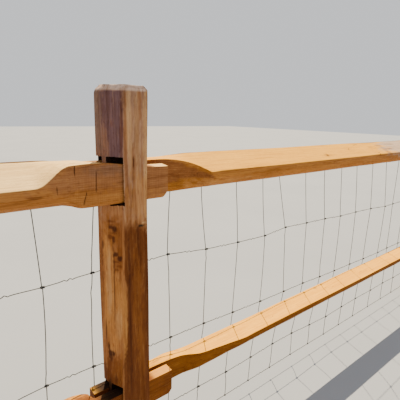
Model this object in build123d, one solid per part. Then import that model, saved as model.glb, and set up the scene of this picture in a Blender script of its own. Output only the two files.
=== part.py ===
from build123d import *
import os
import random

# A mortised post and two-rail fence of cleft chestnut, with wire stock netting
# on its far side. X runs along the fence, Y from the front to the netting side,
# Z up. The origin is at ground level, at the foot of the middle post.

# Layout
bay_count = 4
bay_length = 2400.0

# Posts: a hewn plan, as distances from the post's own axis
post_height = 1312.0
post_left = 62.0
post_right = 63.0
post_front = 52.0
post_back = 62.0
post_back_flat = 40.0
front_arris_left = 20.0
front_arris_right = 54.0
front_skew = 2.0
left_arris_depth = 11.0
left_facet_lean = 1.0
right_arris_depth = 22.0
right_facet_lean = 3.0
rear_arris_depth = 36.0
post_rim = 12.0
post_rim_inset = 8.0
hewing_wander = 2.2
hewing_step = 320.0

# Mortises: two slots side by side with a thin web between them
slot_width = 41.0
slot_web = 12.0
slot_front = 45.0
upper_mortise_floor = 995.0
upper_mortise_height = 127.0
lower_mortise_floor = 305.0
lower_mortise_height = 117.0

# Tenons, with the rear ones shorter than the front ones
tenon_side_clearance = 3.0
tenon_top_fall = 4.0
tenon_chamfer = 9.0
tenon_end_bevel = 12.0
rear_tenon_reach = 103.0
upper_tenon_height = 113.0
upper_tenon_reach = 129.0
upper_end_drop = 17.0
lower_tenon_height = 97.0
lower_tenon_reach = 150.0
lower_end_drop = 0.0

# Rail bodies, seen from the end: how high their back and their front ridge are,
# and the corners of the belly as distances in from the front and from the back
rail_front = 47.0
rail_back = 56.0
rail_back_arris = 4.0
rail_wander = 3.0
upper_rail_height = 121.0
upper_rail_ridge = 66.0
upper_belly = [(-1.0, 43.0), (9.0, 20.0), (31.0, 8.0), (68.0, 6.0)]
upper_flank = [(10.0, 31.0), (0.0, 77.0)]
lower_rail_height = 84.0
lower_rail_ridge = 78.0
lower_belly = [(-1.0, 56.0), (15.0, 37.0), (39.0, 14.0), (72.0, 7.0)]
lower_flank = [(12.0, 24.0), (0.0, 54.0)]

# Pared ends of the rails, measured from the post's axis. A paring is given as
# shares: how far along it, how far out from the tenon, how high its lower edge is
shoulder_start = 132.0
flank_end = 185.0
rise_end = 290.0
run_out_start = 166.0
run_out_end = 251.0
run_out_steps = 6
upper_paring_end = 304.0
upper_paring = [(0.12, 0.0, 0.50), (0.26, 0.01, 0.52), (0.40, 0.04, 0.37), (0.53, 0.11, 0.36),
                (0.65, 0.21, 0.41), (0.75, 0.34, 0.50), (0.84, 0.52, 0.63), (0.92, 0.74, 0.78),
                (1.0, 1.0, 0.94)]
lower_paring_end = 523.0
lower_paring = [(0.13, 0.0, 0.12), (0.24, 0.01, 0.12), (0.32, 0.14, 0.15), (0.37, 0.30, 0.20),
                (0.42, 0.45, 0.27), (0.49, 0.56, 0.35), (0.60, 0.66, 0.43), (0.78, 0.82, 0.56),
                (1.0, 1.0, 0.72)]
body_stations = [0.03, 0.26, 0.5, 0.74, 0.97]

# Netting
wire_radius = 1.3
net_gap = 0.15
net_joint_gap = 0.1
stay_spacing = 160.0
stay_offset = 62.0
stay_lift = 1.5
stay_overrun = 4.0
stay_lean = 6.0
line_sides = 6
stay_sides = 4
line_heights = [46.0, 172.0, 446.0, 766.0, 1046.0]
line_give = [0.0, 0.2, 0.6, 1.0, 0.3]
post_sag = [-22.0, 6.0, 0.0, -66.0, -30.0]
net_end_lap = 36.0

os.makedirs("parts", exist_ok=True)

# Slots, from the front of the post to its back
front_slot = (-slot_front, -slot_front + slot_width)
rear_slot = (front_slot[1] + slot_web, front_slot[1] + slot_web + slot_width)

# The eight corners of a rail's outline, and the four on each of its sides
TOP_BACK, RIDGE, FRONT_HIGH, FRONT_LOW, BELLY_FRONT, BELLY_BACK, BACK_LOW, BACK_HIGH = range(8)
FRONT_SIDE = (RIDGE, FRONT_HIGH, FRONT_LOW, BELLY_FRONT)
BACK_SIDE = (TOP_BACK, BACK_HIGH, BACK_LOW, BELLY_BACK)

UPPER_RAIL = {
    "floor": upper_mortise_floor, "height": upper_rail_height, "ridge": upper_rail_ridge,
    "belly": upper_belly, "flank": upper_flank, "paring": upper_paring,
    "paring_end": upper_paring_end, "tenon": upper_tenon_height,
    "reach": upper_tenon_reach, "drop": upper_end_drop,
}
LOWER_RAIL = {
    "floor": lower_mortise_floor, "height": lower_rail_height, "ridge": lower_rail_ridge,
    "belly": lower_belly, "flank": lower_flank, "paring": lower_paring,
    "paring_end": lower_paring_end, "tenon": lower_tenon_height,
    "reach": lower_tenon_reach, "drop": lower_end_drop,
}


def post_x(index):
    """Place of a post's axis along the fence, with the middle post at zero."""
    return (index - bay_count // 2) * bay_length


def write(shape, name):
    shape.label = name
    export_step(shape, "parts/" + name + ".step")


def smooth(place, start, end):
    """A share that eases from 0 at the start to 1 at the end."""
    along = min(1.0, max(0.0, (place - start) / (end - start)))
    return along * along * (3.0 - 2.0 * along)


def post_plan(rng, inset=0.0):
    """Corners of the hewn post, anticlockwise from its back left corner."""
    corners = [
        (-post_back_flat, post_back),
        (-post_left, rear_arris_depth),
        (-post_left + left_facet_lean, left_arris_depth),
        (-front_arris_left, -post_front + front_skew),
        (front_arris_right, -post_front),
        (post_right, -right_arris_depth),
        (post_right - right_facet_lean, rear_arris_depth),
        (post_back_flat, post_back),
    ]
    plan = []
    for x, y in corners:
        shift_x = rng.uniform(-hewing_wander, hewing_wander)
        shift_y = rng.uniform(-hewing_wander, hewing_wander)
        if y == post_back:
            shift_y = 0.0
        scale = 1.0 - inset / post_left
        plan.append(((x + shift_x) * scale, (y + shift_y) * scale))
    return plan


def plan_face(plan, level):
    return make_face(Polyline([(x, y, level) for x, y in plan], close=True))


def make_post(index):
    """A post from its flat foot to its eased top, with both mortises cut."""
    rng = random.Random(36 + 3 * index)
    steps = max(2, round(post_height / hewing_step))
    shaft_top = post_height - post_rim
    faces = [plan_face(post_plan(rng), shaft_top * step / steps) for step in range(steps + 1)]
    faces.append(plan_face(post_plan(rng, post_rim_inset), post_height))
    post = loft(faces, ruled=True)
    cut_length = 3.0 * (post_left + post_right)
    mortises = ((upper_mortise_floor, upper_mortise_height),
                (lower_mortise_floor, lower_mortise_height))
    for floor, height in mortises:
        for low, high in (front_slot, rear_slot):
            middle = Location((0, (low + high) / 2, floor + height / 2))
            post -= middle * Box(cut_length, high - low, height)
    return Location((post_x(index), 0, 0)) * post


def tenon_outline(slot, height):
    """The corners of a tenon in its slot, with a chamfer along each lower edge."""
    front = slot[0] + tenon_side_clearance
    back = slot[1] - tenon_side_clearance
    middle = height / 2
    return [
        (back, height),
        (front, height - tenon_top_fall),
        (front, middle),
        (front, tenon_chamfer),
        (front + tenon_chamfer, 0.0),
        (back - tenon_chamfer, 0.0),
        (back, tenon_chamfer),
        (back, middle),
    ]


def tenon_end(tenon, drop, bevel):
    """The tenon's outline near its sawn end, with a lower top and a raised foot."""
    points = []
    for corner, (y, z) in enumerate(tenon):
        if corner in (TOP_BACK, RIDGE):
            z -= drop
        if corner in (FRONT_LOW, BELLY_FRONT, BELLY_BACK, BACK_LOW):
            z += bevel
        points.append((y, z))
    return points


def body_outline(rail, rng):
    """The corners of a cleft rail: a light sloping face above a rounded belly."""
    points = [(rail_back - rail_back_arris, rail["height"]), (-rail_front, rail["ridge"])]
    points += [(-rail_front + inset, level) for inset, level in rail["belly"]]
    points += [(rail_back - inset, level) for inset, level in rail["flank"]]
    half = rail_wander / 2
    return [(y + rng.uniform(-half, half), z + rng.uniform(-half, half)) for y, z in points]


def top_at(outline, y):
    """Height of an outline's top face, extended if need be, at a depth."""
    front, back = outline[RIDGE], outline[TOP_BACK]
    return front[1] + (back[1] - front[1]) * (y - front[0]) / (back[0] - front[0])


def paring_at(rail, place):
    """How far out the paring has come at a place, and how high its lower edge is."""
    along = (place - shoulder_start) / (rail["paring_end"] - shoulder_start)
    before = (0.0, 0.0, rail["paring"][0][2])
    for after in rail["paring"]:
        if along <= after[0]:
            share = max(0.0, (along - before[0]) / (after[0] - before[0]))
            return [low + (high - low) * share for low, high in zip(before, after)][1:]
        before = after
    return [1.0, after[2]]


def widened(rail, tenon, body, pared_side, place, rise):
    """An outline between the tenon and the body, with the paring cut upright on one side."""
    out, edge = paring_at(rail, place)
    near = smooth(place, shoulder_start, flank_end)
    points = []
    for corner, (start, end) in enumerate(zip(tenon, body)):
        share = out if corner in pared_side else near
        y = start[0] + (end[0] - start[0]) * share
        z = start[1] + (end[1] - start[1]) * share
        if corner in (TOP_BACK, RIDGE):
            z = top_at(tenon, y) * (1.0 - rise) + top_at(body, y) * rise
        points.append((y, z))
    top, high = pared_side[:2]
    points[high] = (points[top][0], body[top][1] * edge)
    return points


def facet(*corners):
    return make_face(Polyline(list(corners), close=True))


def hewn(outlines):
    """A solid whose outlines are joined by flat facets, two between each corner and the next."""
    rings = [[(x, y, z) for y, z in points] for x, points in outlines]
    facets = [facet(*rings[0]), facet(*rings[-1])]
    for near, far in zip(rings, rings[1:]):
        for corner in range(len(near)):
            facets.append(facet(near[corner - 1], near[corner], far[corner]))
            facets.append(facet(near[corner - 1], far[corner], far[corner - 1]))
    return Solid(Shell(facets))


def make_rail(bay, rail, seed):
    """A rail with its left tenon in the rear slot and its right one in front."""
    rng = random.Random(seed)
    left = post_x(bay)
    right = post_x(bay + 1)
    body = body_outline(rail, rng)
    paring_length = rail["paring_end"] - shoulder_start
    rear = tenon_outline(rear_slot, rail["tenon"])
    front = tenon_outline(front_slot, rail["tenon"])

    outlines = [
        (left - rear_tenon_reach, tenon_end(rear, 0.0, tenon_end_bevel)),
        (left - rear_tenon_reach + tenon_end_bevel, rear),
        (left + shoulder_start, rear),
    ]
    for along, _, _ in rail["paring"]:
        place = shoulder_start + paring_length * along
        rise = smooth(place, shoulder_start, rise_end)
        outlines.append((left + place, widened(rail, rear, body, FRONT_SIDE, place, rise)))

    clear_start = left + rail["paring_end"]
    clear_length = right - left - 2 * rail["paring_end"]
    for share in body_stations:
        body = body_outline(rail, rng)
        outlines.append((clear_start + clear_length * share, body))

    run_out = run_out_end - run_out_start
    places = [run_out_end - run_out * step / run_out_steps for step in range(run_out_steps + 1)]
    for place in [rail["paring_end"]] + places:
        rise = smooth(place, run_out_start, run_out_end)
        outlines.append((right - place, widened(rail, front, body, BACK_SIDE, place, rise)))

    bevel_share = 1.0 - tenon_end_bevel / (rail["reach"] + post_left)
    outlines += [
        (right - shoulder_start, front),
        (right - post_left, front),
        (right + rail["reach"] - tenon_end_bevel, tenon_end(front, rail["drop"] * bevel_share, 0.0)),
        (right + rail["reach"], tenon_end(front, rail["drop"], tenon_end_bevel)),
    ]
    return Location((0, 0, rail["floor"])) * hewn(outlines)


def bar(start, end, radius, sides):
    """A wire of few sides between two points."""
    way = Vector(*end) - Vector(*start)
    plane = Plane(origin=start, x_dir=(0, 1, 0), z_dir=way)
    return extrude(plane * RegularPolygon(radius, sides), way.length)


def line_height(line, x):
    """Height of a line wire, which is pulled to a slightly different level at each post."""
    place = x / bay_length + bay_count // 2
    index = min(bay_count - 1, max(0, int(place)))
    near = post_sag[index % len(post_sag)]
    far = post_sag[(index + 1) % len(post_sag)]
    sag = near + (far - near) * (place - index)
    return line_heights[line] + sag * line_give[line]


def make_net(bay):
    """The netting of one bay: line wires held on the posts, and upright stays."""
    start = post_x(bay)
    end = post_x(bay + 1)
    first = start - net_end_lap if bay == 0 else start + net_joint_gap / 2
    last = end + net_end_lap if bay == bay_count - 1 else end - net_joint_gap / 2
    y = post_back + net_gap + wire_radius
    bars = []
    for line in range(len(line_heights)):
        ends = (line_height(line, first), line_height(line, last))
        bars.append(bar((first, y, ends[0]), (last, y, ends[1]), wire_radius, line_sides))
    rng = random.Random(90 + bay)
    top = len(line_heights) - 1
    reach = bay_count * bay_length / 2
    first_stay = -int((reach + stay_offset) // stay_spacing)
    for step in range(first_stay, -first_stay + 1):
        x = stay_offset + step * stay_spacing
        if not start <= x < end:
            continue
        lean = rng.uniform(-stay_lean, stay_lean)
        foot = (x - lean, y + stay_lift, line_height(0, x) - stay_overrun)
        head = (x + lean, y + stay_lift, line_height(top, x) + stay_overrun)
        bars.append(bar(foot, head, wire_radius, stay_sides))
    return bars[0].fuse(*bars[1:])


for index in range(bay_count + 1):
    write(make_post(index), "post_" + str(index + 1))

for bay in range(bay_count):
    tail = "_rail_bay_" + str(bay + 1)
    write(make_rail(bay, UPPER_RAIL, 10 + bay), "upper" + tail)
    write(make_rail(bay, LOWER_RAIL, 20 + bay), "lower" + tail)
    write(make_net(bay), "netting_bay_" + str(bay + 1))
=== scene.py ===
import math
import random

import bpy
import numpy as np
from mathutils import Matrix, Vector


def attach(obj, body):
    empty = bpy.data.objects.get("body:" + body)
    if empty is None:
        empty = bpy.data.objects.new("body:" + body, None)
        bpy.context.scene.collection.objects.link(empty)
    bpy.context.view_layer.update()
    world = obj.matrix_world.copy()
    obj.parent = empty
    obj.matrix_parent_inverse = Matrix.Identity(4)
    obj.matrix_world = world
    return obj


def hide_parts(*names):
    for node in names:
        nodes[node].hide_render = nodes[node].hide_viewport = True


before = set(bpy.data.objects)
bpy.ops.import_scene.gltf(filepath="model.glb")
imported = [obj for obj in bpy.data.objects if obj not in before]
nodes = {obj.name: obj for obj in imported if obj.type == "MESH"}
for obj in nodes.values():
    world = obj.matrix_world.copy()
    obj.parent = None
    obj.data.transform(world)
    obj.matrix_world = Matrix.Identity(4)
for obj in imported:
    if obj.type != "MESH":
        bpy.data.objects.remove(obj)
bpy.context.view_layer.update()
scene = bpy.context.scene

MM = 0.001
TINY = 1e-9

# Camera: where the photograph was taken from, in metres and degrees
EYE = Vector((-0.532, -0.958, 1.241))
YAW = math.radians(40.7)
PITCH = math.radians(12.6)
ROLL = math.radians(1.42)
FOCAL_PIXELS = 385
FRAME_PIXELS = 400
SENSOR = 36

# Light, with the direction towards the sun
SUN_POWER = 11.5
SUN_COLOUR = (1, 0.86, 0.62)
SUN_TOWARD = (0.327, 0.47, 0.819)
SUN_ANGLE = math.radians(0.5)
SKY_COLOUR = (0.95, 0.97, 1)
SKY_POWER = 0.84
FLOOR_REACH = 30

# Layout of the fence, in millimetres, as in the solids
BAYS = 4
BAY = 2400
POST_HEIGHT = 1312
POST_BACK = 62
SLOTS = ((-45, -4), (8, 49))
MORTISE_FLOORS = {"upper": 995, "lower": 305}
MORTISE_HEIGHTS = {"upper": 127, "lower": 117}
SHOULDER = 132

# Seeds of what is random: those of each kind of piece, and the steps between its pieces
POST_SEED, RAIL_SEED, NET_SEED, STAPLE_SEED, CROSSING_SEED = 100, 300, 500, 700, 7
RAIL_SEED_STEP, LOWER_SEED_STEP, SLOT_SEED_STEP = 20, 7, 10


def post_x(index):
    return (index - BAYS // 2) * BAY


def add_object(name, data, materials=()):
    piece = bpy.data.objects.new(name, data)
    scene.collection.objects.link(piece)
    for material in materials:
        data.materials.append(material)
    return piece


def make_camera():
    data = bpy.data.cameras.new("camera")
    data.sensor_width = SENSOR
    data.lens = FOCAL_PIXELS / FRAME_PIXELS * SENSOR
    scene.camera = add_object("camera", data)
    scene.camera.matrix_world = (Matrix.Translation(EYE) @ Matrix.Rotation(-YAW, 4, "Z")
                                 @ Matrix.Rotation(math.pi / 2 - PITCH, 4, "X")
                                 @ Matrix.Rotation(ROLL, 4, "Z"))


# Numbers

HASH_AXES = np.array([73856093, 19349663, 83492791])
HASH_SEED = 668265263
HASH_ROUNDS = ((15, 2246822519), (13, 3266489917))


def noise(places, seed):
    """Smooth noise from -1 to 1, on a lattice one unit apart."""
    cell = np.floor(places).astype(np.int64)
    part = places - cell
    ease = part * part * (3 - 2 * part)
    total = np.zeros(places.shape[:-1])
    for corner in range(8):
        step = np.array([corner & 1, corner >> 1 & 1, corner >> 2 & 1])
        key = (cell + step) @ HASH_AXES + seed * HASH_SEED
        for shift, factor in HASH_ROUNDS:
            key = (key ^ (key >> shift)) * factor & 0xFFFFFFFF
        value = ((key ^ (key >> 16)) & 0xFFFF) / 32767.5 - 1
        weight = np.prod(np.where(step == 1, ease, 1 - ease), axis=-1)
        total += weight * value
    return total


def relief(places, layers, seed):
    """Layers of noise, each a mean depth and a size, never below 0."""
    total = 0
    for number, (depth, size) in enumerate(layers):
        total = total + depth * (1 + noise(places / np.array(size), seed + number))
    return total


def step_up(value, low, high):
    """A share that eases from 0 at low to 1 at high, in either direction."""
    along = np.clip((value - low) / (high - low), 0, 1)
    return along * along * (3 - 2 * along)


def between(value, rise, fall):
    """A share that is 1 between where it rises and where it falls."""
    return step_up(value, *rise) * step_up(value, *fall)


def eased(places, known, values):
    """Values between known places, on smooth lines that never overshoot."""
    gaps = np.diff(known)[:, None, None]
    slopes = np.diff(values, axis=0) / gaps
    before = 2 * gaps[1:] + gaps[:-1]
    after = gaps[1:] + 2 * gaps[:-1]
    safe = np.where(slopes == 0, TINY, slopes)
    same = slopes[:-1] * slopes[1:] > 0
    mean = (before + after) / (before / safe[:-1] + after / safe[1:])
    tangents = np.concatenate([slopes[:1], np.where(same, mean, 0), slopes[-1:]])
    at = np.clip(np.searchsorted(known, places, side="right") - 1, 0, len(known) - 2)
    gap = gaps[at]
    t = np.clip((places - known[at])[:, None, None] / gap, 0, 1)
    bend = gap * t * (1 - t) * ((1 - t) * tangents[at] - t * tangents[at + 1])
    return values[at] + (values[at + 1] - values[at]) * t * t * (3 - 2 * t) + bend


# Meshes

SMOOTH_ANGLE = 38
SOFTENING = 2
# The outlines over a sawn end: how large each is, and how rough
END_SHARES = (0.03, 0.3, 0.55, 0.78, 0.93, 0.985)
END_ROUGHNESS = np.array([1, 1, 1, 1, 0.8, 0.5])
END_RELIEF = [(0.35, 7), (0.25, 2.6)]
# Numbers of a wooden piece's materials
END, MORTISE = 1, 2


def add_attribute(mesh, name, kind, values):
    layer = mesh.attributes.new(name, kind, "POINT")
    key = "vector" if kind == "FLOAT_VECTOR" else "color"
    layer.data.foreach_set(key, np.ascontiguousarray(values, dtype=np.float32).ravel())


def vertices_of(mesh):
    places = np.empty(len(mesh.vertices) * 3)
    mesh.vertices.foreach_get("co", places)
    return places.reshape(-1, 3)


def faces_over(rows, columns):
    """Faces round a row of closed outlines and over its ends."""
    corner = np.arange(rows * columns).reshape(rows, columns)
    beside = np.roll(corner, -1, axis=1)
    faces = np.stack([corner[:-1], beside[:-1], beside[1:], corner[1:]], axis=-1)
    return faces.reshape(-1, 4).tolist() + [corner[0, ::-1].tolist(), corner[-1].tolist()]


def skin(name, rings, end_rings):
    """A closed mesh over a row of outlines, the first and last few of them sawn ends."""
    rows, columns = rings.shape[:2]
    mesh = bpy.data.meshes.new(name)
    mesh.from_pydata((rings.reshape(-1, 3) * MM).tolist(), [], faces_over(rows, columns))
    row = np.repeat(np.arange(rows - 1), columns)
    is_end = (row < end_rings) | (row >= rows - 1 - end_rings)
    set_materials(mesh, np.append(is_end, [True, True]) * END)
    mesh.update()
    return mesh


def set_materials(mesh, numbers):
    mesh.polygons.foreach_set("material_index", numbers.astype(np.int32))


def finish_mesh(mesh, angle=SMOOTH_ANGLE):
    mesh.validate()
    mesh.polygons.foreach_set("use_smooth", np.ones(len(mesh.polygons), dtype=bool))
    mesh.set_sharp_from_angle(angle=math.radians(angle))
    mesh.update()


def spread(count):
    """Shares along a side of an outline, closer together near its corners."""
    share = np.arange(count) / count
    return share - 0.5 * np.sin(2 * np.pi * share) / (2 * np.pi)


def outline(corners, counts, soften):
    """Points round each outline, with its arrises softened."""
    sides = len(counts)
    parts = []
    for side, count in enumerate(counts):
        start = corners[:, side][:, None]
        end = corners[:, (side + 1) % sides][:, None]
        parts.append(start + (end - start) * spread(count)[None, :, None])
    points = np.concatenate(parts, axis=1)
    for _ in range(soften):
        points = (np.roll(points, 1, axis=1) + 2 * points + np.roll(points, -1, axis=1)) / 4
    return points


def outward(points):
    """Directions out of outlines that run anticlockwise."""
    way = np.roll(points, -1, axis=1) - np.roll(points, 1, axis=1)
    length = np.linalg.norm(way, axis=-1, keepdims=True)
    way = way / np.maximum(length, TINY)
    return np.stack([way[..., 1], -way[..., 0]], axis=-1)


def with_axis(axis, along, points):
    """Outlines as places in space, with the axis along them first (0) or last (2)."""
    level = np.broadcast_to(along[:, None, None], points.shape[:2] + (1,))
    parts = [level, points] if axis == 0 else [points, level]
    return np.concatenate(parts, axis=-1)


def close_ends(rings, axis, seed):
    """Adds shrinking outlines over both ends, as rough as a saw leaves them."""
    lids = []
    for end, sign in ((0, 1), (-1, -1)):
        ring = rings[end]
        middle = ring.mean(axis=0)
        lid = np.stack([middle + (ring - middle) * share for share in END_SHARES])
        lid[..., axis] += sign * relief(lid, END_RELIEF, seed) * END_ROUGHNESS[:, None]
        lids.append(lid)
    return np.concatenate([lids[0], rings, lids[1][::-1]]), len(END_SHARES)


# Wood

# How the grain bends round knots, wanders, and differs from piece to piece
KNOT_STRETCH = 2.4
WAVE_HEIGHT = 7
WAVE_LENGTHS = np.array([330, 90, 90])
WAVE_SHIFT = 17
PIECE_SHIFT = 517


def knot_warp(across, up, along, knots):
    """Bends the grain round knots, given as (across, up, along, size)."""
    for knot_across, knot_up, knot_along, size in knots:
        off_across = across - knot_across
        off_up = up - knot_up
        off_along = along - knot_along
        far = np.sqrt(off_across ** 2 + off_up ** 2 + (off_along / KNOT_STRETCH) ** 2)
        share = far / (far + size)
        across = knot_across + off_across * share
        up = knot_up + off_up * share
    return across, up


# Colours that the wood is painted with, in linear light
PAINT = {
    "tan": (0.44, 0.24, 0.135), "pink": (0.2, 0.125, 0.095), "mauve": (0.155, 0.087, 0.1),
    "cream": (0.64, 0.37, 0.165), "orange": (0.46, 0.185, 0.04), "brown": (0.28, 0.092, 0.016),
    "dark": (0.15, 0.038, 0.005), "knot": (0.06, 0.013, 0.004), "black": (0.01, 0.005, 0.003),
    "sand": (0.57, 0.255, 0.068), "grey": (0.55, 0.44, 0.36), "lens": (0.3, 0.112, 0.03),
    "cheek": (0.37, 0.157, 0.058), "white": (1, 0.66, 0.26), "amber": (1, 0.48, 0.045),
    "honey": (0.98, 0.46, 0.034), "back": (0.52, 0.29, 0.13), "rim": (0.72, 0.53, 0.43),
}

# Marks on the photographed post, painted one over the other: colour, place across, height,
# reach across, reach up and strength. Places across the left face are shares of its width
LEFT_FACE_MARKS = [
    # Mauve, at the top of the left face, is weathering together with painted blue skylight
    # shade
    ("mauve", 0.5, 1215, 0.66, 155, 0.95), ("tan", 0.18, 1150, 0.16, 60, 0.4),
    ("pink", -0.2, 1200, 0.26, 190, 0.9), ("dark", 0.5, 1212, 0.03, 22, 0.45),
    ("dark", 0.86, 1190, 0.05, 90, 0.45), ("orange", 0.6, 985, 0.6, 42, 0.5),
    ("brown", -0.2, 800, 0.22, 200, 0.75), ("dark", -0.12, 838, 0.05, 30, 0.6),
    ("dark", -0.12, 775, 0.05, 22, 0.6), ("brown", 0.85, 880, 0.25, 80, 0.65),
    ("orange", 0.88, 740, 0.16, 60, 0.5), ("sand", 0.26, 830, 0.24, 95, 0.9),
    ("sand", 0.45, 700, 0.56, 95, 0.95), ("sand", 0.5, 625, 0.62, 75, 0.95),
    ("sand", 0.42, 565, 0.3, 38, 0.9), ("cream", 0.22, 760, 0.12, 110, 0.55),
    ("cream", 0.72, 630, 0.16, 60, 0.45), ("orange", 0.7, 745, 0.2, 20, 0.45),
    ("dark", 0.4, 425, 0.95, 92, 0.8), ("brown", 0.7, 470, 0.4, 60, 0.6),
    # The black mark on the next line, beside the lower mortise, is painted shadow of the
    # mortise
    ("orange", 0.86, 500, 0.09, 55, 0.6), ("black", -0.32, 395, 0.2, 34, 0.85),
    ("knot", 0.00, 590, 0.04, 40, 0.75), ("knot", 0.12, 548, 0.06, 12, 0.75),
    ("knot", 0.3, 528, 0.2, 10, 0.9), ("knot", 0.25, 512, 0.12, 12, 0.7),
    ("knot", 0.5, 440, 0.1, 14, 0.55), ("brown", 0.42, 918, 0.26, 44, 0.75),
    ("dark", 0.36, 942, 0.16, 4, 0.6), ("dark", 0.4, 933, 0.12, 3, 0.5),
    ("knot", 0.38, 925, 0.1, 7, 0.8), ("knot", 0.52, 921, 0.09, 8, 0.85),
    ("dark", 0.44, 908, 0.15, 3, 0.6), ("dark", 0.34, 897, 0.13, 6, 0.75),
    ("knot", 0.5, 889, 0.05, 7, 0.6), ("brown", 0.68, 826, 0.26, 36, 0.75),
    ("dark", 0.44, 862, 0.05, 14, 0.7), ("knot", 0.56, 846, 0.12, 7, 0.85),
    ("knot", 0.74, 835, 0.12, 8, 0.9), ("dark", 0.62, 824, 0.14, 4, 0.6),
    ("dark", 0.72, 812, 0.14, 4, 0.55), ("dark", 0.62, 800, 0.12, 4, 0.5),
    # The black mark on the next line, beside the lower mortise, is painted shadow of the
    # mortise
    ("dark", 0.8, 780, 0.08, 18, 0.45), ("black", 0.14, 365, 0.2, 56, 0.85),
    ("knot", -0.04, 872, 0.05, 12, 0.6), ("knot", 0.46, 718, 0.024, 145, 0.85),
    ("knot", 0.98, 960, 0.02, 90, 0.65),
]
FRONT_FACE_MARKS = [
    ("pink", 20, 1280, 60, 30, 0.4), ("cream", -2, 1190, 9, 110, 0.5),
    ("cream", 20, 1140, 8, 150, 0.4), ("cream", 50, 1110, 11, 190, 0.8),
    ("brown", 30, 1265, 5, 45, 0.55), ("brown", -14, 1120, 5, 160, 0.55),
    ("brown", 10, 1090, 9, 60, 0.45), ("brown", -8, 1000, 12, 60, 0.5),
    ("knot", 9, 1150, 1.2, 18, 0.7), ("knot", 14, 1186, 1, 26, 0.45),
    ("dark", -10, 1060, 1.6, 46, 0.55), ("dark", 26, 1180, 1.4, 34, 0.5),
    ("brown", 36, 1060, 4, 70, 0.5), ("knot", 9, 1108, 2.6, 15, 0.9),
    ("knot", 5, 1052, 1.5, 24, 0.85), ("knot", 4, 1018, 1.8, 22, 0.85),
    ("knot", 1, 985, 1.6, 20, 0.7), ("knot", 18, 1135, 1, 24, 0.55),
    ("dark", 8, 1060, 3, 70, 0.55), ("sand", 28, 1010, 34, 64, 0.5),
    ("sand", -27, 655, 7, 125, 0.9), ("brown", 14, 700, 16, 170, 0.6),
    ("brown", 28, 520, 12, 190, 0.6), ("knot", -9, 640, 5, 230, 0.5),
    ("knot", 49, 700, 4, 160, 0.35), ("knot", 22, 880, 3, 50, 0.5),
    ("black", 33, 926, 10, 4, 0.9), ("cream", 40, 933, 8, 3.5, 0.95),
    ("knot", 52, 430, 3, 20, 0.7),
]
# Its knots as (x, y, z, size)
SEEN_POST_KNOTS = [(-44, -14, 930, 9), (-40, -20, 893, 6), (-50, -6, 522, 11),
                   (32, -51, 927, 6)]
# The stain on its front: the heights at x = 0 where it starts and is full, and its slope
STAIN_LEVELS = (956, 918)
STAIN_SLOPE = 0.2
STAIN_RAGGED = 46
STAIN_STRENGTH = 0.92
# The strip beside the arris that stays clean of it, and where that is wider
CLEAN_STRIP, WIDE_STRIP = 1, 9
WIDE_STRIP_REACH = ((540, 600), (800, 740))
STRIP_RAGGED, STRIP_EDGE = 4, 5
ARRIS_EDGE = 1.2

# Coats over whole pieces: colour, strength, axis, and where it starts and is full
SEEN_POST_COATS = [("orange", 0.75, 2, 1000, 900)]
# The plain posts' paler back coat is painted sunlight on their backs
PLAIN_POST_COATS = [("orange", 0.6, 2, 1020, 880), ("pink", 0.5, 2, 1050, 1290),
                    # The rim coat is a painted highlight on the posts' rims
                    ("back", 0.5, 1, 30, 56), ("rim", 0.7, 2, 1295, 1300)]
# The rails' paler back coat is painted sunlight on their backs
RAIL_COATS = [("back", 0.6, 1, 20, 44)]
# The photographed post's rim, painted paler as a sunlit highlight, with a wavy lower edge
RIM_HIGHLIGHT, RIM_HIGHLIGHT_EDGE = 0.85, (1294, 1299)
RIM_HIGHLIGHT_WAVE, RIM_HIGHLIGHT_GRAIN = 3, np.array([9, 9, 40])

# The rails' own colours on their sides, and on their tops the paler colours of painted
# sunlight and sheen
PLAIN_RAIL_PAINT = ((0.4, 0.155, 0.032), (0.76, 0.34, 0.06))
RAIL_PAINT = {
    "upper_rail_bay_2": ((0.48, 0.2, 0.048), PAINT["white"]),
    "upper_rail_bay_3": ((0.5, 0.2, 0.036), PAINT["amber"]),
    "lower_rail_bay_3": ((0.29, 0.095, 0.006), PAINT["honey"]),
    "lower_rail_bay_2": ((0.27, 0.082, 0.008), (0.72, 0.32, 0.045)),
}
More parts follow.
